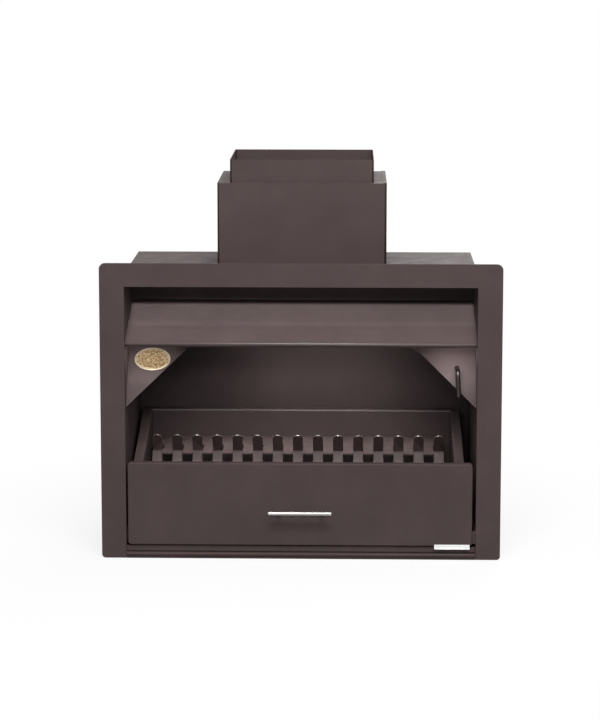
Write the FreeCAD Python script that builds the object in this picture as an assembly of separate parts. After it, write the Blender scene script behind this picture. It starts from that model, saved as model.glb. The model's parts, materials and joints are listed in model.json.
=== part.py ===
import FreeCAD, Part
import math
import os

os.makedirs("parts", exist_ok=True)
V = FreeCAD.Vector

# Built-in fireplace: a folded-steel firebox behind a three-sided front frame, with a sloped smoke hood,
# a flue box and spigot on top, a turning damper, and a pull-out fire drawer that carries a lanced grate.
# Lengths are in millimetres. X runs to the right, Y into the wall, Z up from the hearth.
# Y = 0 is the wall plane, which the back of the front frame lies on. A depth is counted from the
# frame's front face.

# Stock and clearances
body_sheet = 2.0
frame_plate = 3.0
angle_plate = 3.0
grate_plate = 4.0
bend_r = 3.0
cut_over = 12.0
weld_gap = 0.1
running_gap = 0.15
slide_gap = 0.3
shortest_edge = 0.000001

# Front frame
frame_width = 1060.0
frame_height = 795.0
frame_side_band = 65.0
frame_top_band = 63.0
frame_top_r = 16.5
frame_foot_r = 10.0
frame_arris_r = 0.8

# Firebox body
body_depth = 445.0
body_top_drop = 33.0
side_flange = 22.0
floor_height = 15.0
lip_relief = 0.5
lip_set = 5.5
foot_strip = 2.0
foot_strip_width = 40.0
sill_depth = 9.0
sill_rise = 18.0
sill_leg = 20.0

# Smoke hood
hood_front_depth = 5.0
hood_crease_depth = 229.0
hood_crease_drop = 100.0
hood_rise = 82.0
hood_lip = 14.0
hood_lip_lean = 45.0

# Corner plates under the hood
corner_tip_depth = 26.0
corner_tip_drop = 175.0
corner_lean = 35.6
corner_rise = 304.0
corner_width = 277.0

# Flue box and spigot
flue_box_width = 451.0
flue_box_length = 307.0
flue_box_height = 230.0
flue_box_depth = 130.0
side_panel_sheet = 1.0
side_panel_lap = 10.0
spigot_width = 384.0
spigot_length = 278.0
spigot_height = 62.0
spigot_depth = 145.0
spigot_insert = 12.0

# Throat and damper
throat_width = 424.0
throat_front_gap = 4.0
throat_back_gap = 15.0
throat_collar = 36.0
damper_drop = 24.0
flap_edge_gap = 4.0
flap_front_gap = 16.0
flap_back_gap = 31.0
flap_rim = 10.0
spindle_r = 6.0
sleeve_wall = 3.0
bush_wall = 4.0
bush_length = 12.0
bush_flange_r = 17.0
bush_flange = 3.0
shaft_end_gap = 3.0
crank_length = 60.0
crank_angle = 265.0
crank_half_width = 10.0
crank_plate = 5.0
crank_gap = 2.0
link_half_width = 9.0
link_plate = 4.0
link_gap = 1.0
link_pin_r = 5.0
link_pin_gap = 0.25
link_open_gap = 1.0
link_pin_head_r = 7.5
link_pin_head = 3.0

# Damper handle
grip_inset = 49.5
grip_rise = 95.0
grip_depth = 42.0
grip_length = 68.0
grip_lean = 2.8
grip_bend_r = 14.0
grip_end_r = 3.0
handle_bush_length = 28.0
grip_hole_gap = 0.5

# Drawer front
panel_left_gap = 4.6
panel_right_gap = 9.4
panel_foot = 36.0
panel_top = 259.0
panel_depth = 2.0
panel_fold = 20.0
panel_corner_r = 9.0
panel_edge_r = 3.5

# Drawer handle
bar_length = 168.0
bar_r = 5.0
bar_end_r = 1.2
bar_height = 131.0
bar_reach = 30.0
post_spacing = 114.0
post_r = 4.0
handle_shift = -2.0
screw_r = 2.4
screw_hole_r = 2.6
screw_reach = 12.0
screw_head_r = 4.6
screw_head = 3.0

# Name strip, left bare
strip_length = 94.0
strip_height = 13.0
strip_thickness = 1.5
strip_right_inset = 6.5
strip_drop = 8.0
strip_corner_r = 1.5

# Drawer guides
guide_height = 36.0
guide_leg = 40.0
guide_front_depth = 27.0
guide_back_gap = 20.0
guide_tab_depth = 8.0
guide_tab_width = 8.2

# Fire tray
tray_left_gap = 38.0
tray_right_gap = 54.0
tray_back_depth = 400.0
rim_drop = 85.0
rim_fall = 108.0
rim_flange = 26.0
rim_back_flange = 25.0
rim_leg = 12.0
rim_lap = 2.0
runner_leg = 26.0
runner_front_gap = 40.0
runner_back_gap = 5.0

# Fire grate
finger_pitch = 55.0
finger_width = 27.4
grate_shift = -4.0
grate_front_depth = 207.0
grate_back_depth = 394.0
grate_height = 245.0
finger_rise = 49.0
finger_lean = 32.0
finger_base_gap = 7.0
slot_length = 65.0
tongue_reach = 25.0
tongue_root = 6.0
tongue_corner_r = 3.0
apron_lean = 35.0
window_drop = 8.0
window_sill = 20.0

# Oval badge, left bare
badge_inset = 65.0
badge_rise = 140.0
badge_width = 96.0
badge_height = 66.0
badge_plate = 1.6
badge_rim = 3.0
badge_recess = 0.6

# Places worked out from the sizes
front_y = -frame_plate
open_half = frame_width / 2 - frame_side_band
open_top = frame_height - frame_top_band
body_height = frame_height - body_top_drop
body_half = open_half + body_sheet
back_y = body_depth - body_sheet
lip_left = lip_relief - open_half
lip_right = open_half - lip_relief
sill_y = front_y + sill_depth
wall_top = body_height - body_sheet
baffle_back_y = front_y + hood_crease_depth + body_sheet
hood_crease_height = body_height - hood_crease_drop
hood_front_height = hood_crease_height - hood_rise
hood_slope = math.atan2(hood_rise, hood_crease_depth - hood_front_depth)
corner_tip_height = hood_front_height - corner_tip_drop
flue_box_y = front_y + flue_box_depth
flue_box_top = body_height + flue_box_height
spigot_y = front_y + spigot_depth
panel_left = panel_left_gap - open_half
panel_right = open_half - panel_right_gap
panel_y = front_y + panel_depth
panel_back_y = panel_y + body_sheet
tray_left = tray_left_gap - open_half
tray_right = open_half - tray_right_gap
tray_foot = guide_height + angle_plate + slide_gap
tray_mid = (tray_left + tray_right) / 2
tray_y = panel_back_y
tray_back_y = front_y + tray_back_depth
tray_floor = tray_foot + body_sheet
rim_back_height = corner_tip_height - rim_drop
rim_front_height = rim_back_height - rim_fall
damper_height = body_height - damper_drop
flap_width = throat_width - 2 * flap_edge_gap
flap_y = baffle_back_y + flap_front_gap
flap_back_y = back_y - flap_back_gap
flap_length = flap_back_y - flap_y
crank_y = flap_back_y + crank_gap
link_y = crank_y + crank_plate + link_gap
shaft_back_y = back_y - shaft_end_gap
grip_x = open_half - grip_inset
grip_height = corner_tip_height + grip_rise
grip_y = front_y + grip_depth
badge_x = badge_inset - open_half
finger_count = int((tray_right - tray_left - finger_width) // finger_pitch) + 1
bush_r = spindle_r + running_gap + bush_wall


def save(name, shape):
    shape.exportStep("parts/" + name + ".step")


def block(x_low, x_high, y_low, y_high, z_low, z_high):
    return Part.makeBox(x_high - x_low, y_high - y_low, z_high - z_low, V(x_low, y_low, z_low))


def rod(radius, start, end):
    return Part.makeCylinder(radius, (end - start).Length, start, end - start)


def outline(corners, place):
    """Closed wire through (u, v, radius) corners; place(u, v) puts a point in space."""
    starts = []
    arcs = []
    for index, (u, v, radius) in enumerate(corners):
        here = V(u, v, 0)
        before = V(*corners[index - 1][:2], 0)
        after = V(*corners[(index + 1) % len(corners)][:2], 0)
        back = (before - here).normalize()
        ahead = (after - here).normalize()
        half = back.getAngle(ahead) / 2
        reach = radius / math.tan(half)
        middle = here + (back + ahead).normalize() * (radius / math.sin(half) - radius)
        starts.append((here + back * reach, here + ahead * reach))
        arcs.append(middle if radius else None)
    edges = []
    for index, (enter, leave) in enumerate(starts):
        if arcs[index]:
            points = [place(p.x, p.y) for p in (enter, arcs[index], leave)]
            edges.append(Part.Arc(*points).toShape())
        follow = starts[(index + 1) % len(starts)][0]
        if (follow - leave).Length > shortest_edge:
            edges.append(Part.makeLine(place(leave.x, leave.y), place(follow.x, follow.y)))
    return Part.Wire(edges)


def folded(points, thickness, place, run):
    """Bent sheet: a path along one face, its thickness on the path's left, drawn out along run."""
    headings = []
    for start, end in zip(points, points[1:]):
        headings.append(math.atan2(end[1] - start[1], end[0] - start[0]))
    outer = [(*points[0], 0)]
    first = headings[0] + math.pi / 2
    inner = [(points[0][0] + thickness * math.cos(first), points[0][1] + thickness * math.sin(first), 0)]
    for point, arrive, depart in zip(points[1:], headings, headings[1:]):
        turn = math.remainder(depart - arrive, 2 * math.pi)
        normal = arrive + turn / 2 + math.pi / 2
        shift = thickness / math.cos(turn / 2)
        wide = bend_r + thickness
        outer.append((*point, wide if turn > 0 else bend_r))
        inner.append((point[0] + shift * math.cos(normal), point[1] + shift * math.sin(normal),
                      bend_r if turn > 0 else wide))
    last = headings[-1] + math.pi / 2
    outer.append((*points[-1], 0))
    inner.append((points[-1][0] + thickness * math.cos(last), points[-1][1] + thickness * math.sin(last), 0))
    return Part.Face(outline(outer + inner[::-1], place)).extrude(run)


def on_yz(x):
    return lambda u, v: V(x, u, v)


def on_xz(y):
    return lambda u, v: V(u, y, v)


def on_xy(z):
    return lambda u, v: V(u, v, z)


def mirrored(shape, middle_x):
    return shape.mirror(V(middle_x, 0, 0), V(1, 0, 0))


def make_front_frame():
    half = frame_width / 2
    corners = [(-half, 0, frame_foot_r), (-half, frame_height, frame_top_r),
               (half, frame_height, frame_top_r), (half, 0, frame_foot_r),
               (open_half, 0, 0), (open_half, open_top, 0), (-open_half, open_top, 0), (-open_half, 0, 0)]
    plate = Part.Face(outline(corners, on_xz(front_y))).extrude(V(0, frame_plate, 0))
    arris = [e for e in plate.Edges if all(abs(p.Y - front_y) < shortest_edge for p in e.Vertexes)]
    return plate.makeFillet(frame_arris_r, arris)


def make_right_side():
    path = [(open_half, back_y), (open_half, 0), (body_half + side_flange, 0)]
    return folded(path, body_sheet, on_xy(0), V(0, 0, wall_top))


def make_back():
    return block(-body_half, body_half, back_y, body_depth, 0, wall_top)


def make_base():
    path = [(back_y, floor_height), (front_y, floor_height), (front_y + lip_set, foot_strip)]
    pan = folded(path, body_sheet, on_yz(-open_half), V(2 * open_half, 0, 0))
    notch_y = front_y + body_sheet + bend_r
    for x_low, x_high in ((-open_half - cut_over, lip_left), (lip_right, open_half + cut_over)):
        pan = pan.cut(block(x_low, x_high, front_y - cut_over, notch_y, -cut_over, floor_height + cut_over))
    return pan


def make_foot_strip():
    return block(lip_left, lip_right, front_y, front_y + foot_strip_width, 0, foot_strip)


def make_sill():
    """Upright angle on the floor just behind the drawer front's foot."""
    path = [(sill_y, floor_height + sill_rise), (sill_y, floor_height), (sill_y + sill_leg, floor_height)]
    return folded(path, body_sheet, on_yz(lip_left), V(lip_right - lip_left, 0, 0))


def make_top():
    half = throat_width / 2
    y_low = baffle_back_y + throat_front_gap
    y_high = back_y - throat_back_gap
    edge = half + body_sheet + bend_r
    plate = block(-body_half, body_half, 0, body_depth, wall_top, body_height)
    plate = plate.cut(block(-edge, edge, y_low, y_high, wall_top - cut_over, body_height + cut_over))
    path = [(half, wall_top - throat_collar), (half, body_height), (edge + cut_over, body_height)]
    collar = folded(path[::-1], body_sheet, on_xz(y_low), V(0, y_high - y_low, 0))
    return plate.fuse([collar, mirrored(collar, 0)]).removeSplitter()


def hood_path():
    front = (front_y + hood_front_depth, hood_front_height)
    crease = (front_y + hood_crease_depth, hood_crease_height)
    lean = math.radians(hood_lip_lean)
    lip = (front[0] + hood_lip * math.sin(lean), front[1] - hood_lip * math.cos(lean))
    return [(crease[0], wall_top), crease, front, lip]


def make_hood():
    hood = folded(hood_path(), body_sheet, on_yz(-open_half), V(2 * open_half, 0, 0))
    return hood.cut(rod(spindle_r + running_gap, V(0, baffle_back_y, damper_height),
                        V(0, baffle_back_y - cut_over, damper_height)))


def corner_place(x, rise):
    """Placement on the front face of the leaning corner plates, rise counted up the slope."""
    lean = math.radians(corner_lean)
    base = V(x, front_y + corner_tip_depth + rise * math.sin(lean), corner_tip_height + rise * math.cos(lean))
    return FreeCAD.Placement(base, FreeCAD.Rotation(V(1, 0, 0), 90 - corner_lean))


def above_hood():
    """Everything above the hood's underside, to trim the corner plates against it."""
    shift = body_sheet / math.cos(hood_slope)
    tan = math.tan(hood_slope)
    y_low = front_y - cut_over
    front_z = hood_front_height - shift + (y_low - front_y - hood_front_depth) * tan
    back_z = front_z + (back_y - y_low) * tan
    corners = [(y_low, front_z, 0), (back_y, back_z, 0), (back_y, body_height, 0), (y_low, body_height, 0)]
    return Part.Face(outline(corners, on_yz(-body_half))).extrude(V(2 * body_half, 0, 0))


def make_right_corner():
    longer = corner_rise + cut_over
    wider = corner_width * longer / corner_rise
    corners = [(0, 0, 0), (0, longer, 0), (-wider, longer, 0)]
    plate = Part.Face(outline(corners, on_xy(0))).extrude(V(0, 0, -body_sheet))
    plate.Placement = corner_place(open_half, 0)
    return plate.cut(above_hood())


def flue_box_prism(inset, foot, top):
    """Solid of the flue box's outline, inset from its outside."""
    half = flue_box_width / 2 - inset
    y_low = flue_box_y + inset
    y_high = flue_box_y + flue_box_length - inset
    radius = bend_r + body_sheet - inset
    corners = [(-half, y_low, radius), (half, y_low, radius), (half, y_high, radius), (-half, y_high, radius)]
    return Part.Face(outline(corners, on_xy(foot))).extrude(V(0, 0, top - foot))


def make_flue_box():
    box = flue_box_prism(0, body_height, flue_box_top)
    hollow = flue_box_prism(body_sheet, body_height - cut_over, flue_box_top - body_sheet)
    return box.cut(hollow).cut(spigot_prism(0, cut_over))


def make_flue_side_panel():
    """Right-hand cover of the flue box, lapped round its front, top and back edges."""
    cover = flue_box_prism(-side_panel_sheet, body_height, flue_box_top + side_panel_sheet)
    cover = cover.cut(flue_box_prism(0, body_height - cut_over, flue_box_top))
    lap_x = flue_box_width / 2 - side_panel_lap
    y_high = flue_box_y + flue_box_length + cut_over
    return cover.cut(block(-flue_box_width, lap_x, flue_box_y - cut_over, y_high, body_height - cut_over,
                           flue_box_top + cut_over))


def spigot_prism(inset, lengthen):
    """Solid of the spigot's outline, inset from its outside, from its foot to past its top."""
    half = spigot_width / 2 - inset
    y_low = spigot_y + inset
    y_high = spigot_y + spigot_length - inset
    radius = bend_r + body_sheet - inset
    corners = [(-half, y_low, radius), (half, y_low, radius), (half, y_high, radius), (-half, y_high, radius)]
    foot = flue_box_top - spigot_insert - lengthen
    height = spigot_height + spigot_insert + 2 * lengthen
    return Part.Face(outline(corners, on_xy(foot))).extrude(V(0, 0, height))


def make_spigot():
    return spigot_prism(0, 0).cut(spigot_prism(body_sheet, cut_over))


def bush(x, z, y_seat, y_end):
    """Flanged bush on a seat, its bore along Y; the flange is at the seat."""
    flange_y = y_seat + math.copysign(bush_flange, y_end - y_seat)
    body = rod(bush_flange_r, V(x, y_seat, z), V(x, flange_y, z))
    body = body.fuse(rod(bush_r, V(x, y_seat, z), V(x, y_end, z)))
    return body.cut(rod(spindle_r + running_gap, V(x, y_seat, z), V(x, y_end, z))).removeSplitter()


def make_damper_flap():
    half = flap_width / 2
    face = body_sheet / 2
    low = damper_height - half + body_sheet
    high = damper_height + half
    path = [(face + flap_rim, low), (face, low), (face, high), (face - flap_rim, high)]
    plate = folded(path, body_sheet, on_xz(flap_y), V(0, flap_length, 0))
    start = V(0, flap_y, damper_height)
    end = V(0, flap_back_y, damper_height)
    sleeve = rod(spindle_r + weld_gap + sleeve_wall, start, end)
    return plate.fuse(sleeve).cut(rod(spindle_r + weld_gap, start, end)).removeSplitter()


def make_spindle():
    return rod(spindle_r, V(0, baffle_back_y, damper_height), V(0, shaft_back_y, damper_height))


def crank_tip(x, z):
    turn = math.radians(crank_angle)
    return x + crank_length * math.cos(turn), z + crank_length * math.sin(turn)


def strap(start, end, half_width, thickness, y):
    """Flat bar with full round ends from one point to another in the XZ plane."""
    along = V(end[0] - start[0], 0, end[1] - start[1])
    turn = math.degrees(math.atan2(along.z, along.x))
    corners = [(-half_width, -half_width, half_width), (along.Length + half_width, -half_width, half_width),
               (along.Length + half_width, half_width, half_width), (-half_width, half_width, half_width)]
    bar = Part.Face(outline(corners, on_xz(0))).extrude(V(0, thickness, 0))
    bar.Placement = FreeCAD.Placement(V(start[0], y, start[1]), FreeCAD.Rotation(V(0, -1, 0), turn))
    return bar


def make_crank(x, z):
    tip_x, tip_z = crank_tip(x, z)
    bar = strap((x, z), (tip_x, tip_z), crank_half_width, crank_plate, crank_y)
    head_y = link_y + link_plate + link_gap
    pin = rod(link_pin_r, V(tip_x, crank_y, tip_z), V(tip_x, head_y, tip_z))
    head = rod(link_pin_head_r, V(tip_x, head_y, tip_z), V(tip_x, head_y + link_pin_head, tip_z))
    bore = rod(spindle_r + weld_gap, V(x, crank_y, z), V(x, crank_y + crank_plate, z))
    return bar.cut(bore).fuse([pin, head]).removeSplitter()


def make_link():
    flap_pin = crank_tip(0, damper_height)
    handle_pin = crank_tip(grip_x, grip_height)
    bar = strap(flap_pin, handle_pin, link_half_width, link_plate, link_y)
    for (x, z), gap in ((flap_pin, link_pin_gap), (handle_pin, link_open_gap)):
        bar = bar.cut(rod(link_pin_r + gap, V(x, link_y, z), V(x, link_y + link_plate, z)))
    return bar


def make_grip_rod():
    lean = math.radians(grip_lean)
    down = V(math.sin(lean), 0, -math.cos(lean))
    corner = V(grip_x, grip_y, grip_height)
    tip = corner + down * grip_length
    bend_start = corner + down * grip_bend_r
    bend_end = corner + V(0, grip_bend_r, 0)
    centre = corner + down * grip_bend_r + V(0, grip_bend_r, 0)
    middle = centre + (corner - centre).normalize() * grip_bend_r
    path = Part.Wire([Part.makeLine(tip, bend_start), Part.Arc(bend_start, middle, bend_end).toShape(),
                      Part.makeLine(bend_end, V(grip_x, shaft_back_y, grip_height))])
    section = Part.Wire(Part.makeCircle(spindle_r, tip, down))
    bar = path.makePipeShell([section], True, False)
    end = [e for e in bar.Edges if (e.BoundBox.Center - tip).Length < spindle_r / 2 and len(e.Vertexes) == 1]
    return bar.makeFillet(grip_end_r, end)


def handle_hole_y():
    lean = math.tan(math.radians(corner_lean))
    return front_y + corner_tip_depth + (grip_height - corner_tip_height) * lean


def make_handle_bush():
    """Bush welded on the back of the right corner plate, its front end cut to the plate's lean."""
    seat = handle_hole_y()
    start = V(grip_x, seat - handle_bush_length, grip_height)
    end = V(grip_x, seat + handle_bush_length, grip_height)
    bush_rod = rod(bush_r, start, end).cut(rod(spindle_r + running_gap, start, end))
    ahead = Part.makeBox(2 * handle_bush_length, corner_rise, 2 * handle_bush_length,
                         V(-handle_bush_length, 0, -body_sheet))
    ahead.Placement = corner_place(grip_x, 0)
    return bush_rod.cut(ahead)


def handle_hole():
    seat = handle_hole_y()
    start = V(grip_x, seat - handle_bush_length, grip_height)
    return rod(spindle_r + grip_hole_gap, start, V(grip_x, seat + handle_bush_length, grip_height))


def make_right_guide():
    path = [(open_half - guide_leg, guide_height), (open_half, guide_height),
            (open_half, guide_height + guide_leg)]
    y_low = front_y + guide_front_depth
    return folded(path, angle_plate, on_xz(y_low), V(0, back_y - guide_back_gap - y_low, 0))


def make_guide_tab():
    """Stop tab turned in at the right guide's front, beside the drawer front."""
    y_low = front_y + guide_tab_depth
    z_low = guide_height + angle_plate + bend_r
    z_high = guide_height + guide_leg
    tab = block(open_half - guide_tab_width, open_half, y_low, y_low + angle_plate, z_low, z_high)
    web = block(open_half - angle_plate, open_half, y_low, front_y + guide_front_depth, z_low, z_high)
    return tab.fuse(web)


def handle_places():
    middle = (panel_left + panel_right) / 2 + handle_shift + panel_right_gap / 2 - panel_left_gap / 2
    return middle, (middle - post_spacing / 2, middle + post_spacing / 2)


def make_drawer_front():
    inner_r = panel_corner_r - body_sheet

    def pan(inset, radius, y, length):
        left = panel_left + inset
        right = panel_right - inset
        low = panel_foot + inset
        high = panel_top - inset
        corners = [(left, low, radius), (left, high, radius), (right, high, radius), (right, low, radius)]
        return Part.Face(outline(corners, on_xz(y))).extrude(V(0, length, 0))

    shell = pan(0, panel_corner_r, panel_y, panel_fold)
    rim = [e for e in shell.Edges if all(abs(p.Y - panel_y) < shortest_edge for p in e.Vertexes)]
    shell = shell.makeFillet(panel_edge_r, rim).cut(pan(body_sheet, inner_r, panel_back_y, panel_fold))
    for x in handle_places()[1]:
        hole = rod(screw_hole_r, V(x, panel_y - cut_over, bar_height), V(x, panel_y + cut_over, bar_height))
        shell = shell.cut(hole)
    return shell


def make_handle_bar():
    middle = handle_places()[0]
    y = panel_y - bar_reach
    bar = rod(bar_r, V(middle - bar_length / 2, y, bar_height), V(middle + bar_length / 2, y, bar_height))
    ends = [e for e in bar.Edges if e.Curve.TypeId == "Part::GeomCircle"]
    return bar.makeFillet(bar_end_r, ends)


def make_handle_posts():
    posts = []
    axis_y = panel_y - bar_reach
    saddle = rod(bar_r, V(-body_half, axis_y, bar_height), V(body_half, axis_y, bar_height))
    for x in handle_places()[1]:
        post = rod(post_r, V(x, axis_y, bar_height), V(x, panel_y, bar_height)).cut(saddle)
        hole = rod(screw_hole_r, V(x, panel_y - screw_reach, bar_height), V(x, panel_y, bar_height))
        posts.append(post.cut(hole))
    return Part.makeCompound(posts)


def make_handle_screws():
    screws = []
    seat = tray_y + body_sheet
    for x in handle_places()[1]:
        shank = rod(screw_r, V(x, panel_y - screw_reach + slide_gap, bar_height), V(x, seat, bar_height))
        head = rod(screw_head_r, V(x, seat, bar_height), V(x, seat + screw_head, bar_height))
        screws.append(shank.fuse(head).removeSplitter())
    return Part.makeCompound(screws)


def make_name_strip():
    right = panel_right - strip_right_inset
    left = right - strip_length
    low = panel_foot - strip_drop
    high = low + strip_height
    corners = [(left, low, strip_corner_r), (left, high, strip_corner_r),
               (right, high, strip_corner_r), (right, low, strip_corner_r)]
    return Part.Face(outline(corners, on_xz(panel_y - strip_thickness))).extrude(V(0, strip_thickness, 0))


def make_fire_tray():
    left = tray_left - body_sheet
    right = tray_right + body_sheet
    back = tray_back_y + body_sheet
    slope = math.atan2(rim_back_height - rim_front_height, tray_back_y - tray_y)
    drop = rim_leg / math.cos(slope)
    corners = [(tray_y, tray_foot, 0), (back, tray_foot, 0), (back, rim_back_height - drop, 0),
               (tray_back_y, rim_back_height - drop, 0), (tray_y, rim_front_height - drop, 0)]
    shell = Part.Face(outline(corners, on_yz(left))).extrude(V(right - left, 0, 0))
    hollow = block(tray_left, tray_right, tray_y + body_sheet, tray_back_y, tray_floor, frame_height)
    shell = shell.cut(hollow)
    leg = rim_leg + rim_lap
    along = V(0, tray_back_y - tray_y, rim_back_height - rim_front_height)

    def on_slope(u, v):
        return V(u, tray_y - v * math.sin(slope), rim_front_height + v * math.cos(slope))

    side_path = [(tray_left, -leg), (tray_left, 0), (tray_left - rim_flange, 0)]
    side = folded(side_path, body_sheet, on_slope, along)
    back_path = [(tray_back_y + rim_back_flange, rim_back_height), (tray_back_y, rim_back_height),
                 (tray_back_y, rim_back_height - leg)]
    rear = folded(back_path, body_sheet, on_yz(left), V(right - left, 0, 0))
    ear = block(tray_left - rim_flange, left, tray_back_y, tray_back_y + rim_back_flange,
                rim_back_height - body_sheet, rim_back_height)
    pieces = [side, mirrored(side, tray_mid), rear, ear, mirrored(ear, tray_mid)]
    tray = shell.fuse(pieces)
    tray = tray.cut(block(-body_half, body_half, tray_y - cut_over, tray_y, 0, frame_height))
    for x in handle_places()[1]:
        hole = rod(screw_hole_r, V(x, tray_y - cut_over, bar_height), V(x, tray_y + cut_over, bar_height))
        tray = tray.cut(hole)
    return tray.removeSplitter()


def make_runners():
    x = tray_right + body_sheet
    path = [(x, tray_foot + runner_leg), (x, tray_foot), (x + runner_leg, tray_foot)]
    y_low = tray_y + runner_front_gap
    right = folded(path, body_sheet, on_xz(y_low), V(0, tray_back_y - runner_back_gap - y_low, 0))
    return Part.makeCompound([mirrored(right, tray_mid), right])


def finger_places():
    first = tray_mid + grate_shift - finger_pitch * (finger_count - 1) / 2
    return [first + finger_pitch * index for index in range(finger_count)]


def make_finger():
    """One finger lanced up from the deck, leaning forward, with a full round tip; centred on X = 0."""
    lean = math.radians(finger_lean)
    half = finger_width / 2
    length = (finger_rise + grate_plate) / math.cos(lean)
    corners = [(-half, 0, 0), (half, 0, 0), (half, length, half), (-half, length, half)]
    finger = Part.Face(outline(corners, on_xz(0))).extrude(V(0, grate_plate, 0))
    base = V(0, front_y + grate_front_depth + finger_base_gap, grate_height - grate_plate)
    finger.Placement = FreeCAD.Placement(base, FreeCAD.Rotation(V(1, 0, 0), finger_lean))
    return finger


def make_fire_grate():
    """Deck on a sloping apron and an upright back leg, run on as short tongues between the fingers."""
    y_low = front_y + grate_front_depth
    y_high = front_y + grate_back_depth
    foot_y = y_low - (grate_height - tray_floor) * math.tan(math.radians(apron_lean))
    places = finger_places()
    half = finger_width / 2
    x_low = places[0] - half
    path = [(y_high, tray_floor), (y_high, grate_height), (y_low, grate_height), (foot_y, tray_floor)]
    x_high = places[-1] + half
    grate = folded(path, grate_plate, on_yz(x_low), V(x_high - x_low, 0, 0))
    slot_y = y_low + finger_base_gap
    cuts = [block(x_low, x_high, foot_y - cut_over, y_high + cut_over, tray_floor - cut_over, tray_floor)]
    for x in places:
        cuts.append(block(x - half, x + half, slot_y, slot_y + slot_length, grate_height - cut_over,
                          grate_height + cut_over))
    window_foot = tray_floor + window_sill
    window_top = grate_height - grate_plate - window_drop
    root_y = y_low + tongue_root
    tongues = []
    for x, following in zip(places, places[1:]):
        left = x + half
        right = following - half
        cuts.append(block(left, right, foot_y - cut_over, root_y, window_foot, grate_height + cut_over))
        cuts.append(block(left, right, y_high - cut_over, y_high + cut_over, window_foot, window_top))
        corners = [(left, root_y, 0), (left, y_low - tongue_reach, tongue_corner_r),
                   (right, y_low - tongue_reach, tongue_corner_r), (right, root_y, 0)]
        tongue = Part.Face(outline(corners, on_xy(grate_height - grate_plate))).extrude(V(0, 0, grate_plate))
        tongues.append(tongue)
    grate = grate.cut(Part.makeCompound(cuts))
    finger = make_finger()
    floor = block(x_low - cut_over, -x_low + cut_over, y_low, y_high, grate_height - 2 * grate_plate,
                  grate_height - grate_plate)
    fingers = []
    for x in places:
        copy = finger.copy()
        copy.translate(V(x, 0, 0))
        fingers.append(copy.cut(floor))
    return grate.fuse(fingers + tongues).removeSplitter()


def make_badge():
    def oval(inset, low, high):
        ellipse = Part.Ellipse(V(0, 0, low), badge_width / 2 - inset, badge_height / 2 - inset)
        return Part.Face(Part.Wire(ellipse.toShape())).extrude(V(0, 0, high - low))

    plate = oval(0, 0, badge_plate).cut(oval(badge_rim, badge_plate - badge_recess, badge_plate + cut_over))
    plate.Placement = corner_place(badge_x, badge_rise)
    return plate


right_corner = make_right_corner()
right_side = make_right_side()
right_guide = make_right_guide()

save("front_frame", make_front_frame())
save("firebox_right_side", right_side)
save("firebox_left_side", mirrored(right_side, 0))
save("firebox_back", make_back())
save("firebox_base", make_base())
save("base_foot_strip", make_foot_strip())
save("base_sill", make_sill())
save("firebox_top", make_top())
save("smoke_hood", make_hood())
save("left_corner_plate", mirrored(right_corner, 0))
save("right_corner_plate", right_corner.cut(handle_hole()))
save("flue_box", make_flue_box())
save("flue_box_side_panel", make_flue_side_panel())
save("flue_spigot", make_spigot())
save("right_drawer_guide", right_guide.fuse(make_guide_tab()).removeSplitter())
save("left_drawer_guide", mirrored(right_guide, 0))
save("oval_badge", make_badge())

save("damper_front_bush", bush(0, damper_height, baffle_back_y, baffle_back_y + bush_length))
save("damper_rear_bushes", Part.makeCompound([
    bush(0, damper_height, back_y, back_y - bush_length),
    bush(grip_x, grip_height, back_y, back_y - bush_length)]))
save("damper_handle_bush", make_handle_bush())
save("damper_flap", make_damper_flap())
save("damper_spindle", make_spindle())
save("damper_flap_crank", make_crank(0, damper_height))
save("damper_link", make_link())
save("damper_handle_rod", make_grip_rod())
save("damper_handle_crank", make_crank(grip_x, grip_height))

save("drawer_front", make_drawer_front())
save("drawer_handle_bar", make_handle_bar())
save("drawer_handle_posts", make_handle_posts())
save("drawer_handle_screws", make_handle_screws())
save("name_strip", make_name_strip())
save("fire_tray", make_fire_tray())
save("tray_runners", make_runners())
save("fire_grate", make_fire_grate())
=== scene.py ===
import json
import math

import bpy
from mathutils import Matrix, Vector


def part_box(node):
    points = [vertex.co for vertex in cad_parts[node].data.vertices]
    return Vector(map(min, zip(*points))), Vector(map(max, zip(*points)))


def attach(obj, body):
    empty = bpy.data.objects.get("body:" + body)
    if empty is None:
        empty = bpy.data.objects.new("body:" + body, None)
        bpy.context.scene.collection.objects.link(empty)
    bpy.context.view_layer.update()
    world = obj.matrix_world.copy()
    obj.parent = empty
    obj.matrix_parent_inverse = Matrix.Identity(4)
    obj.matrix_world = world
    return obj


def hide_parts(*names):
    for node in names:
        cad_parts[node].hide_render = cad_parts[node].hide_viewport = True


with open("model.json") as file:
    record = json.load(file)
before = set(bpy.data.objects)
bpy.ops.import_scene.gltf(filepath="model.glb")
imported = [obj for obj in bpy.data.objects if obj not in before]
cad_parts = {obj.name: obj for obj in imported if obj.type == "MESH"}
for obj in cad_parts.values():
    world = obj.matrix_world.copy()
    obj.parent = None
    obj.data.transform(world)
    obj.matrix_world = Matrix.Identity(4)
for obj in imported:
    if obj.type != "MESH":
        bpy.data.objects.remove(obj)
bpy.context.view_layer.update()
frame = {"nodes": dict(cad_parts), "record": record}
nodes = frame["nodes"]
scene = bpy.context.scene
scene.view_settings.view_transform = "Standard"
print("frame loaded:", len(nodes), "nodes")


# camera, in the photograph's place: a little right of the middle and well above the unit
view = {
    "place": (0.1307, -5.803, 1.663),
    "down": 7.84,
    "left": 1.3078,
    "lens": 112.1,
    "shift": -0.17,
    "sensor": 36,
    "reach": 100,
}


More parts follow.
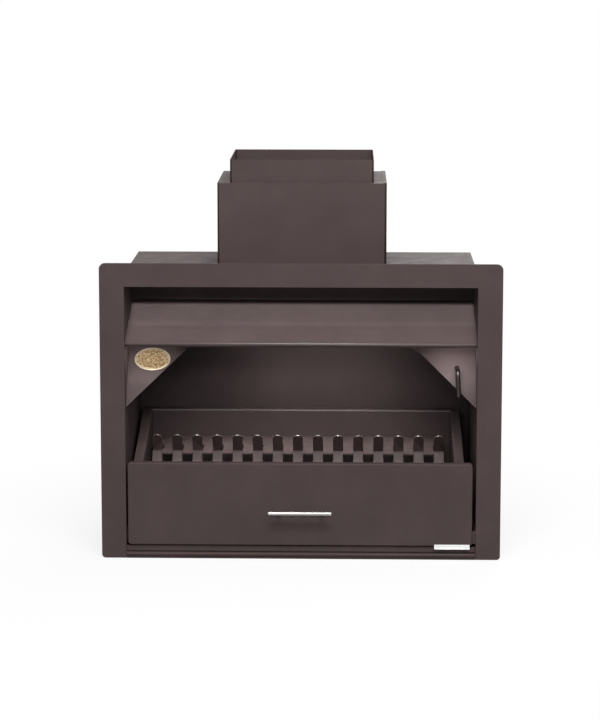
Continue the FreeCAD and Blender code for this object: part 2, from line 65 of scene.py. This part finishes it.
def makeCamera():
    turn = (math.radians(90 - view["down"]), 0, math.radians(view["left"]))
    bpy.ops.object.camera_add(location=view["place"], rotation=turn)
    camera = bpy.context.object
    camera.name = "frontCamera"
    camera.data.lens = view["lens"]
    camera.data.sensor_width = view["sensor"]
    camera.data.shift_y = view["shift"]
    camera.data.clip_end = view["reach"]
    scene.camera = camera


makeCamera()
print("camera placed")


# material helpers
def newFinish(name):
    finish = bpy.data.materials.new(name)
    finish.use_nodes = True
    tree = finish.node_tree
    return finish, tree, tree.nodes["Principled BSDF"]


def objectCoords(tree, stretch=(1, 1, 1)):
    coords = tree.nodes.new("ShaderNodeTexCoord")
    mapping = tree.nodes.new("ShaderNodeMapping")
    mapping.inputs["Scale"].default_value = stretch
    tree.links.new(coords.outputs["Object"], mapping.inputs["Vector"])
    return mapping.outputs["Vector"]


def noise(tree, coords, scale, detail=2.0, rough=0.5):
    node = tree.nodes.new("ShaderNodeTexNoise")
    node.inputs["Scale"].default_value = scale
    node.inputs["Detail"].default_value = detail
    node.inputs["Roughness"].default_value = rough
    tree.links.new(coords, node.inputs["Vector"])
    return node.outputs["Fac"]


def ramp(tree, source, stops):
    node = tree.nodes.new("ShaderNodeValToRGB")
    elements = node.color_ramp.elements
    for index, (place, colour) in enumerate(stops):
        element = elements[index] if index < 2 else elements.new(place)
        element.position = place
        element.color = (*colour, 1)
    tree.links.new(source, node.inputs["Fac"])
    return node.outputs["Color"]


def spread(tree, source, low, high, fromLow=0.3, fromHigh=0.7):
    node = tree.nodes.new("ShaderNodeMapRange")
    node.inputs["From Min"].default_value = fromLow
    node.inputs["From Max"].default_value = fromHigh
    node.inputs["To Min"].default_value = low
    node.inputs["To Max"].default_value = high
    tree.links.new(source, node.inputs["Value"])
    return node.outputs["Result"]


def bump(tree, source, strength, distance, before=None):
    node = tree.nodes.new("ShaderNodeBump")
    node.inputs["Strength"].default_value = strength
    node.inputs["Distance"].default_value = distance
    tree.links.new(source, node.inputs["Height"])
    if before:
        tree.links.new(before, node.inputs["Normal"])
    return node.outputs["Normal"]


# satin heat-resistant paint: cloudy brown-grey, a fine sprayed grain, and a faint wave in the sheet under it
bodyPaint = {
    "stops": [(0.3, (0.066, 0.047, 0.046)), (0.5, (0.072, 0.052, 0.051)), (0.72, (0.08, 0.059, 0.057))],
    "specular": 0.1,
    "roughness": (0.46, 0.6),
    "grain": 900,
    "grainHeight": 0.00012,
}
rubbedPaint = dict(bodyPaint)  # folds and edges, rubbed to a gloss
rubbedPaint["specular"] = 0.36
rubbedPaint["roughness"] = (0.28, 0.36)
darkEdgePaint = dict(bodyPaint)  # narrow rims and edges of the flue pieces, painted nearly black
darkEdgePaint["stops"] = [(0.3, (0.018, 0.013, 0.012)), (0.7, (0.03, 0.022, 0.021))]
# the grate's own paint, a little lighter than the body's; part of that lift is painted light on the grate
gratePaint = dict(bodyPaint)
gratePaint["stops"] = [
    (0.3, (0.07, 0.051, 0.048)),
    (0.5, (0.08, 0.058, 0.056)),
    (0.72, (0.092, 0.069, 0.066)),
]
gratePaint["roughness"] = (0.42, 0.56)
tipPaint = dict(gratePaint)  # finger tips, with a glossier coat
tipPaint["specular"] = 1
tipPaint["roughness"] = (0.14, 0.2)

# what all the paints share: noises as scale, detail and roughness, bumps as strength and height
coat = {
    "clouds": (7, 4, 0.6),
    "patches": (26, 3, 0.55),
    "wave": (5, 1),
    "waveBump": (0.25, 0.003),
    "grainDetail": 2,
    "grainBump": 0.35,
}


def makePaint(name, look):
    finish, tree, shader = newFinish(name)
    coords = objectCoords(tree)
    clouds = noise(tree, coords, *coat["clouds"])
    tree.links.new(ramp(tree, clouds, look["stops"]), shader.inputs["Base Color"])
    patches = noise(tree, coords, *coat["patches"])
    tree.links.new(spread(tree, patches, *look["roughness"]), shader.inputs["Roughness"])
    wave = bump(tree, noise(tree, coords, *coat["wave"]), *coat["waveBump"])
    grain = noise(tree, coords, look["grain"], coat["grainDetail"])
    sprayed = bump(tree, grain, coat["grainBump"], look["grainHeight"], wave)
    tree.links.new(sprayed, shader.inputs["Normal"])
    shader.inputs["Specular IOR Level"].default_value = look["specular"]
    return finish


# metals: brushing is a noise stretched along the length of the piece
handleSteel = {
    "stops": [(0.3, (0.33, 0.318, 0.313)), (0.7, (0.41, 0.397, 0.392))],
    "roughness": (0.36, 0.42),
    "stretch": (6, 900, 900),
    "height": 0.00002,
}
stripMetal = {
    "stops": [(0.3, (0.8, 0.8, 0.8)), (0.7, (0.9, 0.9, 0.9))],
    "roughness": (0.3, 0.42),
    "stretch": (8, 900, 1100),
    "height": 0.00003,
}
damperSteel = {
    "stops": [(0.3, (0.035, 0.029, 0.027)), (0.7, (0.07, 0.06, 0.056))],
    "roughness": (0.26, 0.4),
    "stretch": (260, 30, 60),
    "height": 0.00005,
}
brushing = {"lines": (1, 3, 0.6), "bump": 0.4}


def makeMetal(name, look):
    finish, tree, shader = newFinish(name)
    coords = objectCoords(tree, look["stretch"])
    lines = noise(tree, coords, *brushing["lines"])
    tree.links.new(ramp(tree, lines, look["stops"]), shader.inputs["Base Color"])
    tree.links.new(spread(tree, lines, *look["roughness"]), shader.inputs["Roughness"])
    tree.links.new(bump(tree, lines, brushing["bump"], look["height"]), shader.inputs["Normal"])
    shader.inputs["Metallic"].default_value = 1
    return finish


badgeMetal = {
    "rim": [(0.3, (0.44, 0.37, 0.26)), (0.7, (0.54, 0.47, 0.35))],
    "field": [(0.38, (0.15, 0.088, 0.04)), (0.6, (0.43, 0.31, 0.17))],
    "rimClouds": 60,
    "fieldClouds": 210,
    "cloudDetail": 3,
    "metallic": 0.25,
    "specular": 0.3,
    "roughness": (0.3, 0.45),
    "dimples": 420,
    "dimpleBump": (0.5, 0.0003),
    "grain": 700,
    "grainBump": (0.2, 0.00005),
}


def makeBadgeMetal(name, stops, cloudScale, hammered):
    finish, tree, shader = newFinish(name)
    coords = objectCoords(tree)
    clouds = noise(tree, coords, cloudScale, badgeMetal["cloudDetail"])
    tree.links.new(ramp(tree, clouds, stops), shader.inputs["Base Color"])
    tree.links.new(spread(tree, clouds, *badgeMetal["roughness"]), shader.inputs["Roughness"])
    if hammered:
        cells = tree.nodes.new("ShaderNodeTexVoronoi")
        cells.feature = "SMOOTH_F1"
        cells.inputs["Scale"].default_value = badgeMetal["dimples"]
        tree.links.new(coords, cells.inputs["Vector"])
        relief = bump(tree, cells.outputs["Distance"], *badgeMetal["dimpleBump"])
    else:
        relief = bump(tree, noise(tree, coords, badgeMetal["grain"]), *badgeMetal["grainBump"])
    tree.links.new(relief, shader.inputs["Normal"])
    shader.inputs["Metallic"].default_value = badgeMetal["metallic"]
    shader.inputs["Specular IOR Level"].default_value = badgeMetal["specular"]
    return finish


bodyFinish = makePaint("bodyPaint", bodyPaint)
rubbedFinish = makePaint("rubbedPaint", rubbedPaint)
darkEdgeFinish = makePaint("darkEdgePaint", darkEdgePaint)
grateFinish = makePaint("gratePaint", gratePaint)
tipFinish = makePaint("tipPaint", tipPaint)
handleFinish = makeMetal("handleSteel", handleSteel)
stripFinish = makeMetal("stripMetal", stripMetal)
damperFinish = makeMetal("damperSteel", damperSteel)
rimFinish = makeBadgeMetal("badgeRim", badgeMetal["rim"], badgeMetal["rimClouds"], False)
fieldFinish = makeBadgeMetal("badgeField", badgeMetal["field"], badgeMetal["fieldClouds"], True)
slotFinishes = {
    "body_paint": bodyFinish,
    "grate_paint": grateFinish,
    "damper_steel": damperFinish,
    "handle_steel": handleFinish,
    "strip_metal": stripFinish,
    "badge_metal": rimFinish,
}
for part in frame["record"]["subparts"]:
    for slot in nodes[part["node"]].material_slots:
        slot.material = slotFinishes[part["material_slot"]]
print("finishes made and given to the nodes")


# modelling helpers: edges flatter than smoothAngle, in degrees, are shaded smooth, and a face looks along an
# axis when its normal passes squareOn there
smoothAngle = 32
squareOn = 0.9


def clearSelection():
    if bpy.context.object and bpy.context.object.mode != "OBJECT":
        bpy.ops.object.mode_set(mode="OBJECT")
    bpy.ops.object.select_all(action="DESELECT")


def selectOnly(piece):
    clearSelection()
    piece.select_set(True)
    bpy.context.view_layer.objects.active = piece


def nameNew(name):
    piece = bpy.context.object
    piece.name = name
    piece.data.name = name
    return piece


def pickFaces(piece, wanted):
    bpy.ops.object.mode_set(mode="EDIT")
    bpy.ops.mesh.select_mode(type="FACE")
    bpy.ops.mesh.select_all(action="DESELECT")
    bpy.ops.object.mode_set(mode="OBJECT")
    for face in piece.data.polygons:
        face.select = wanted(face)
    bpy.ops.object.mode_set(mode="EDIT")


def applyBevel(piece, width, segments=2, angle=35):
    bpy.ops.object.mode_set(mode="OBJECT")
    rounding = piece.modifiers.new("rounding", "BEVEL")
    rounding.width = width
    rounding.segments = segments
    rounding.limit_method = "ANGLE"
    rounding.angle_limit = math.radians(angle)
    bpy.ops.object.modifier_apply(modifier=rounding.name)


def settle(piece, place):
    bpy.ops.object.mode_set(mode="OBJECT")
    piece.matrix_world = place
    bpy.ops.object.transform_apply(location=True, rotation=True, scale=True)
    bpy.ops.object.shade_smooth_by_angle(angle=math.radians(smoothAngle))


def give(piece, body, slot, *finishes):
    for finish in finishes:
        if piece.data.materials.find(finish.name) < 0:
            piece.data.materials.append(finish)
    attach(piece, body)


# rolled arrises: a narrow live bevel on the plates that the CAD leaves sharp
arris = {
    "fire_grate": (0.0014, tipFinish),
    "fire_tray": (0.0004, rubbedFinish),
    "smoke_hood": (0.0004, rubbedFinish),
    "flue_box": (0.0018, darkEdgeFinish),
    "flue_box_side_panel": (0.0006, darkEdgeFinish),
    "flue_spigot": (0.0006, darkEdgeFinish),
    "left_corner_plate": (0.0004, rubbedFinish),
    "right_corner_plate": (0.0004, rubbedFinish),
    "damper_link": (0.0006, rubbedFinish),
    "damper_flap_crank": (0.0006, rubbedFinish),
    "damper_handle_crank": (0.0006, rubbedFinish),
}
arrisCut = {"merge": 0.00001, "segments": 2, "angle": 40}
for name, (width, finish) in arris.items():
    weld = nodes[name].modifiers.new("weld", "WELD")
    weld.merge_threshold = arrisCut["merge"]
    rounding = nodes[name].modifiers.new("arris", "BEVEL")
    rounding.width = width
    rounding.segments = arrisCut["segments"]
    rounding.limit_method = "ANGLE"
    rounding.angle_limit = math.radians(arrisCut["angle"])
    rounding.harden_normals = True
    nodes[name].data.materials.append(finish)
    rounding.material = len(nodes[name].data.materials) - 1
print("arrises rounded")


# folds, rims and finger tips: narrow strips, told by how few square metres of the sheet face their way
strips = {
    "smoke_hood": (0.003, rubbedFinish),
    "fire_tray": (0.003, rubbedFinish),
    "flue_spigot": (0.003, darkEdgeFinish),
    "flue_box": (0.001, darkEdgeFinish),
    "flue_box_side_panel": (0.001, darkEdgeFinish),
    "fire_grate": (0.0003, tipFinish),
}


def facing(face):
    return tuple(round(value, 2) for value in face.normal)


def coverStrips(mesh, most, finish):
    areas = {}
    for face in mesh.polygons:
        areas[facing(face)] = areas.get(facing(face), 0) + face.area
    place = mesh.materials.find(finish.name)
    for face in mesh.polygons:
        if areas[facing(face)] < most:
            face.material_index = place


for name, (most, finish) in strips.items():
    coverStrips(nodes[name].data, most, finish)
print("folds and rims finished")


# oval badge plate, left bare: a raised rim, a fine inner line and a hammered field
badge = {
    "steps": 96,
    "lean": 35.6,
    "plate": 0.0016,
    "rim": 0.003,
    "recess": 0.0006,
    "lineGap": 0.0024,
    "line": 0.0007,
    "lineRise": 0.00036,
    "round": 0.0002,
    "level": 0.00005,
}


def makeBadge():
    low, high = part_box("oval_badge")
    middle = (low + high) / 2
    halfWide = (high.x - low.x) / 2
    lean = math.radians(90 - badge["lean"])
    halfTall = ((high.z - low.z) / 2 - badge["plate"] / 2 * math.cos(lean)) / math.sin(lean)
    clearSelection()
    bpy.ops.mesh.primitive_circle_add(vertices=badge["steps"], radius=1, fill_type="NGON")
    piece = nameNew("badgePlate")
    piece.scale = (halfWide, halfTall, 1)
    bpy.ops.object.transform_apply(scale=True)
    bpy.ops.object.mode_set(mode="EDIT")
    bpy.ops.mesh.select_all(action="SELECT")
    bpy.ops.mesh.extrude_region_move(TRANSFORM_OT_translate={"value": (0, 0, badge["plate"])})
    # rim, then the field sunk inside it, a fine raised line and the field again
    steps = (
        (badge["rim"], -badge["recess"]),
        (badge["lineGap"], badge["lineRise"]),
        (badge["line"], -badge["lineRise"]),
    )
    for inset, rise in steps:
        bpy.ops.mesh.inset(thickness=inset)
        bpy.ops.mesh.extrude_region_move(TRANSFORM_OT_translate={"value": (0, 0, rise)})
    bpy.ops.object.mode_set(mode="OBJECT")
    piece.data.materials.append(rimFinish)
    piece.data.materials.append(fieldFinish)
    fieldHeight = badge["plate"] - badge["recess"]
    for face in piece.data.polygons:
        onField = abs(face.center.z - fieldHeight) < badge["level"] and face.normal.z > squareOn
        face.material_index = 1 if onField else 0
    applyBevel(piece, badge["round"])
    back = Vector((0, -math.sin(lean), math.cos(lean))) * (badge["plate"] / 2)
    settle(piece, Matrix.Translation(middle - back) @ Matrix.Rotation(lean, 4, "X"))
    give(piece, "firebox", "badge_metal", rimFinish, fieldFinish)
    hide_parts("oval_badge")


makeBadge()
print("badge plate modelled")


# name strip, left bare: a brushed plate with a sunk field and two rivets
strip = {
    "border": 0.0011,
    "recess": 0.00025,
    "round": 0.0014,
    "roundSteps": 4,
    "edge": 0.00012,
    "rivet": 0.0013,
    "rivetSteps": (16, 8),
    "rivetFlat": 0.5,
    "rivetInset": 0.0045,
    "rivetSunk": 0.0004,
}


def makeStrip():
    low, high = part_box("name_strip")
    middle = (low + high) / 2
    size = high - low
    clearSelection()
    bpy.ops.mesh.primitive_cube_add(size=1, location=(0, 0, 0))
    piece = nameNew("nameStrip")
    piece.scale = size
    bpy.ops.object.transform_apply(scale=True)
    bpy.ops.object.mode_set(mode="EDIT")
    bpy.ops.mesh.select_mode(type="EDGE")
    bpy.ops.mesh.select_all(action="DESELECT")
    bpy.ops.object.mode_set(mode="OBJECT")
    for edge in piece.data.edges:
        ends = [piece.data.vertices[v].co for v in edge.vertices]
        edge.select = abs(ends[0].y - ends[1].y) > size.y / 2
    bpy.ops.object.mode_set(mode="EDIT")
    bpy.ops.mesh.bevel(offset=strip["round"], segments=strip["roundSteps"])
    pickFaces(piece, lambda face: face.normal.y < -squareOn)
    bpy.ops.mesh.inset(thickness=strip["border"])
    bpy.ops.mesh.extrude_region_move(TRANSFORM_OT_translate={"value": (0, strip["recess"], 0)})
    applyBevel(piece, strip["edge"])
    front = -size.y / 2
    around, rings = strip["rivetSteps"]
    heads = []
    for side in (-1, 1):
        clearSelection()
        bpy.ops.mesh.primitive_uv_sphere_add(segments=around, ring_count=rings, radius=strip["rivet"])
        head = nameNew("stripRivet")
        head.location = (side * (size.x / 2 - strip["rivetInset"]), front + strip["recess"], 0)
        head.scale = (1, strip["rivetFlat"], 1)
        bpy.ops.object.transform_apply(location=True, scale=True)
        bpy.ops.object.mode_set(mode="EDIT")
        bpy.ops.mesh.select_all(action="SELECT")
        behind = (0, front + strip["rivetSunk"], 0)
        bpy.ops.mesh.bisect(plane_co=behind, plane_no=(0, 1, 0), use_fill=True, clear_outer=True)
        bpy.ops.object.mode_set(mode="OBJECT")
        heads.append(head)
    for head in heads:
        head.select_set(True)
    piece.select_set(True)
    bpy.context.view_layer.objects.active = piece
    bpy.ops.object.join()
    settle(piece, Matrix.Translation(middle))
    give(piece, "fire_drawer", "strip_metal", stripFinish)
    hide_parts("name_strip")


makeStrip()
print("name strip modelled")


# handle screws, seen inside the tray: domed heads with a cross recess
screw = {
    "steps": 32,
    "head": 0.0046,
    "headHeight": 0.003,
    "dome": 0.0008,
    "domeSteps": 4,
    "shank": 0.0024,
    "slotWide": 0.0011,
    "slotLong": 0.0052,
    "slotDeep": 0.0013,
}


def makeScrews():
    low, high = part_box("drawer_handle_screws")
    middle = (low + high) / 2
    reach = high.x - low.x - 2 * screw["head"]
    shankLong = high.y - low.y - screw["headHeight"]
    clearSelection()
    bpy.ops.mesh.primitive_cylinder_add(
        vertices=screw["steps"], radius=screw["head"], depth=screw["headHeight"]
    )
    piece = nameNew("handleScrew")
    pickFaces(piece, lambda face: face.normal.z < -squareOn)
    bpy.ops.mesh.inset(thickness=screw["head"] - screw["shank"])
    bpy.ops.mesh.extrude_region_move(TRANSFORM_OT_translate={"value": (0, 0, -shankLong)})
    applyBevel(piece, screw["dome"], screw["domeSteps"])
    for turn in (0, 90):
        clearSelection()
        bpy.ops.mesh.primitive_cube_add(size=1, rotation=(0, 0, math.radians(turn)))
        cutter = bpy.context.object
        cutter.location.z = screw["headHeight"] / 2
        cutter.scale = (screw["slotLong"], screw["slotWide"], screw["slotDeep"] * 2)
        selectOnly(piece)
        recess = piece.modifiers.new("recess", "BOOLEAN")
        recess.operation = "DIFFERENCE"
        recess.object = cutter
        bpy.ops.object.modifier_apply(modifier=recess.name)
        bpy.data.objects.remove(cutter)
    # head towards the back of the drawer
    selectOnly(piece)
    headMiddle = high.y - screw["headHeight"] / 2
    turned = Matrix.Rotation(math.radians(-90), 4, "X")
    bpy.ops.object.duplicate()
    other = bpy.context.object
    settle(other, Matrix.Translation((middle.x + reach / 2, headMiddle, middle.z)) @ turned)
    selectOnly(piece)
    settle(piece, Matrix.Translation((middle.x - reach / 2, headMiddle, middle.z)) @ turned)
    other.select_set(True)
    bpy.ops.object.join()
    piece.name = "handleScrews"
    give(piece, "fire_drawer", "handle_steel", handleFinish)
    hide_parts("drawer_handle_screws")


makeScrews()
print("handle screws modelled")


# stitch welds: one short bead of overlapping drops, copied along the seams
stitch = {
    "drop": 0.0024,
    "pitch": 0.0021,
    "drops": 11,
    "steps": (12, 8),
    "squash": 0.8,
    "gap": 0.105,
    "inset": 0.02,
}


def makeStitch():
    clearSelection()
    around, rings = stitch["steps"]
    lying = (0, math.radians(90), 0)
    bpy.ops.mesh.primitive_uv_sphere_add(
        segments=around, ring_count=rings, radius=stitch["drop"], rotation=lying
    )
    piece = nameNew("stitchWeld")
    piece.scale = (stitch["squash"], 1, 1)
    bpy.ops.object.transform_apply(location=True, rotation=True, scale=True)
    bpy.ops.object.mode_set(mode="EDIT")
    for side in ((0, 1, 0), (0, 0, 1)):
        bpy.ops.mesh.select_all(action="SELECT")
        bpy.ops.mesh.bisect(plane_co=(0, 0, 0), plane_no=side, use_fill=True, clear_inner=True)
    bpy.ops.object.mode_set(mode="OBJECT")
    row = piece.modifiers.new("row", "ARRAY")
    row.count = stitch["drops"]
    row.use_relative_offset = False
    row.use_constant_offset = True
    row.constant_offset_displace = (stitch["pitch"], 0, 0)
    bpy.ops.object.modifier_apply(modifier=row.name)
    return piece


def seam(start, end, outA, outB):
    along = Vector(end) - Vector(start)
    sideA = Vector(outA)
    sideB = Vector(outB)
    across = sideA.cross(sideB)
    if across.dot(along) < 0:
        start, along = end, -along
    length = along.length
    count = max(1, int(length // stitch["gap"]))
    beadLong = stitch["pitch"] * (stitch["drops"] - 1)
    axes = Matrix((across, sideA, sideB)).transposed().to_4x4()
    places = []
    for index in range(count):
        middle = length * (index + 0.5) / count - beadLong / 2
        places.append(Matrix.Translation(Vector(start) + along.normalized() * middle) @ axes)
    return places


def layWelds(name, body, places, pattern):
    copies = []
    for place in places:
        selectOnly(pattern)
        bpy.ops.object.duplicate()
        copies.append(bpy.context.object)
        settle(copies[-1], place)
    clearSelection()
    for copy in copies:
        copy.select_set(True)
    bpy.context.view_layer.objects.active = copies[0]
    bpy.ops.object.join()
    piece = nameNew(name)
    give(piece, body, "body_paint", bodyFinish)


def ringSeams(low, high, right, height):
    inset = stitch["inset"]
    up = (0, 0, 1)
    places = seam((low.x + inset, low.y, height), (high.x - inset, low.y, height), (0, -1, 0), up)
    places += seam((low.x + inset, high.y, height), (high.x - inset, high.y, height), (0, 1, 0), up)
    places += seam((low.x, low.y + inset, height), (low.x, high.y - inset, height), (-1, 0, 0), up)
    places += seam((right, low.y + inset, height), (right, high.y - inset, height), (1, 0, 0), up)
    return places


def makeWelds():
    pattern = makeStitch()
    inset = stitch["inset"]
    low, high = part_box("flue_box")
    # the flue box ends in its side panel on the right
    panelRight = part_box("flue_box_side_panel")[1].x
    layWelds("flueBoxWelds", "firebox", ringSeams(low, high, panelRight, low.z), pattern)
    boxTop = high.z
    low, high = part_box("flue_spigot")
    layWelds("spigotWelds", "firebox", ringSeams(low, high, high.x, boxTop), pattern)
    flangeSeams = []
    for name, outward in (("firebox_left_side", -1), ("firebox_right_side", 1)):
        low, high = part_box(name)
        edge = high.x if outward > 0 else low.x
        flangeSeams += seam((edge, 0, low.z + inset), (edge, 0, high.z - inset), (outward, 0, 0), (0, 1, 0))
    layWelds("flangeWelds", "firebox", flangeSeams, pattern)
    bpy.data.objects.remove(pattern)


makeWelds()
print("welds laid")


# studio: pale floor, white background, a soft key from high in front, a weak fill, and soft light from the
# front, from above and from behind. Small lamps stand inside the unit: two panels over the hood, one lamp
# each in the throat, over the grate and in the ash space, and one at each corner plate.
studio = {
    "floorSize": 40,
    "floorColour": (0.4, 0.4, 0.4),
    "floorSeen": (0.92, 0.92, 0.92),
    "floorWhite": (0.82, 1),
    "floorFade": (0.6, 1.4),
    "floorDrop": 0.0005,
    "floorRoughness": 0.9,
    "ambient": 0.1,
}
lamps = {
    "key": {
        "place": (0.1, -2.4, 3.6), "aim": (0, 0, 0.55),
        "size": (2.2, 1.2), "watts": 138,
    },
    "fill": {
        "place": (2.4, -3.4, 3.2), "aim": (0, 0, 0.5),
        "size": (1.6, 1.6), "watts": 34,
    },
    "above": {
        "place": (0, 0.2, 4.2), "aim": (0, 0.2, 0.5),
        "size": (2.4, 2.4), "watts": 25,
    },
    "rear": {
        "place": (1.2, 3.4, 2.8), "aim": (0, 0.3, 0.5),
        "size": (2, 1.4), "watts": 50,
    },
    "front": {
        "place": (0.25, -4.6, 2.2), "aim": (0, 0.1, 0.6),
        "size": (2.6, 0.5), "watts": 48,
    },
    "hoodPanel": {
        "place": (0, 0.1045, 0.757), "aim": (0, 0.1045, 0.5),
        "size": (0.926, 0.197), "watts": 0.43, "beam": 14,
    },
    "creasePanel": {
        "place": (0, 0.1475, 0.757), "aim": (0, 0.1475, 0.5),
        "size": (0.926, 0.111), "watts": 0.26, "beam": 14,
    },
    "throat": {
        "place": (0.05, 0.2, 0.55), "aim": (0.05, 0.44, 0.34),
        "size": (0.4, 0.05), "watts": 0.28, "beam": 95,
    },
    "deck": {
        "place": (0, 0.15, 0.565), "aim": (0, 0.25, 0.23),
        "size": (0.74, 0.04), "watts": 0.76, "beam": 66,
    },
    "ash": {
        "place": (0, 0.22, 0.2), "aim": (0, 0.38, 0.12),
        "size": (0.7, 0.02), "watts": 0.1, "beam": 140,
    },
    "leftCorner": {
        "place": (-0.4, 0.008, 0.566), "aim": (-0.41, 0.075, 0.52),
        "size": (0.11, 0.01), "watts": 0.07, "beam": 110,
    },
    "rightCorner": {
        "place": (0.4, 0.008, 0.566), "aim": (0.41, 0.075, 0.52),
        "size": (0.11, 0.01), "watts": 0.12, "beam": 110,
    },
}


def seenWhite(tree):
    path = tree.nodes.new("ShaderNodeLightPath")
    total = path.outputs["Is Camera Ray"]
    for name in ("Is Glossy Ray", "Is Transmission Ray"):
        node = tree.nodes.new("ShaderNodeMath")
        node.operation = "MAXIMUM"
        tree.links.new(total, node.inputs[0])
        tree.links.new(path.outputs[name], node.inputs[1])
        total = node.outputs["Value"]
    return total


def makeWorld():
    world = bpy.data.worlds.new("studioWorld")
    world.use_nodes = True
    scene.world = world
    tree = world.node_tree
    plain = tree.nodes["Background"]
    plain.inputs["Color"].default_value = (1, 1, 1, 1)
    plain.inputs["Strength"].default_value = studio["ambient"]
    white = tree.nodes.new("ShaderNodeBackground")
    white.inputs["Color"].default_value = (1, 1, 1, 1)
    white.inputs["Strength"].default_value = 1
    mix = tree.nodes.new("ShaderNodeMixShader")
    tree.links.new(seenWhite(tree), mix.inputs["Fac"])
    tree.links.new(plain.outputs["Background"], mix.inputs[1])
    tree.links.new(white.outputs["Background"], mix.inputs[2])
    tree.links.new(mix.outputs["Shader"], tree.nodes["World Output"].inputs["Surface"])


def makeFloor():
    clearSelection()
    bpy.ops.mesh.primitive_plane_add(size=studio["floorSize"], location=(0, 0, -studio["floorDrop"]))
    floor = nameNew("studioFloor")
    finish, tree, shader = newFinish("paleFloor")
    seen = seenWhite(tree)
    # the floor looks nearly white but throws less light back up
    tone = tree.nodes.new("ShaderNodeMix")
    tone.data_type = "RGBA"
    tone.inputs["A"].default_value = (*studio["floorColour"], 1)
    tone.inputs["B"].default_value = (*studio["floorSeen"], 1)
    tree.links.new(seen, tone.inputs["Factor"])
    tree.links.new(tone.outputs["Result"], shader.inputs["Base Color"])
    shader.inputs["Roughness"].default_value = studio["floorRoughness"]
    shader.inputs["Specular IOR Level"].default_value = 0
    # pure white away from the object, where no shadow falls
    coords = tree.nodes.new("ShaderNodeTexCoord")
    away = tree.nodes.new("ShaderNodeVectorMath")
    away.operation = "LENGTH"
    tree.links.new(coords.outputs["Object"], away.inputs[0])
    white = spread(tree, away.outputs["Value"], *studio["floorWhite"], *studio["floorFade"])
    share = tree.nodes.new("ShaderNodeMath")
    share.operation = "MULTIPLY"
    tree.links.new(seen, share.inputs[0])
    tree.links.new(white, share.inputs[1])
    glow = tree.nodes.new("ShaderNodeEmission")
    mix = tree.nodes.new("ShaderNodeMixShader")
    tree.links.new(share.outputs["Value"], mix.inputs["Fac"])
    tree.links.new(shader.outputs["BSDF"], mix.inputs[1])
    tree.links.new(glow.outputs["Emission"], mix.inputs[2])
    tree.links.new(mix.outputs["Shader"], tree.nodes["Material Output"].inputs["Surface"])
    floor.data.materials.append(finish)


def makeLamp(name, lamp):
    aim = Vector(lamp["aim"]) - Vector(lamp["place"])
    turn = aim.to_track_quat("-Z", "Y").to_euler()
    bpy.ops.object.light_add(type="AREA", location=lamp["place"], rotation=turn)
    light = bpy.context.object
    light.name = name + "Light"
    light.data.shape = "RECTANGLE"
    light.data.size, light.data.size_y = lamp["size"]
    light.data.energy = lamp["watts"]
    light.data.spread = math.radians(lamp.get("beam", 180))
    light.visible_camera = False


makeWorld()
makeFloor()
for name, lamp in lamps.items():
    makeLamp(name, lamp)
print("studio lit")

bpy.context.view_layer.update()
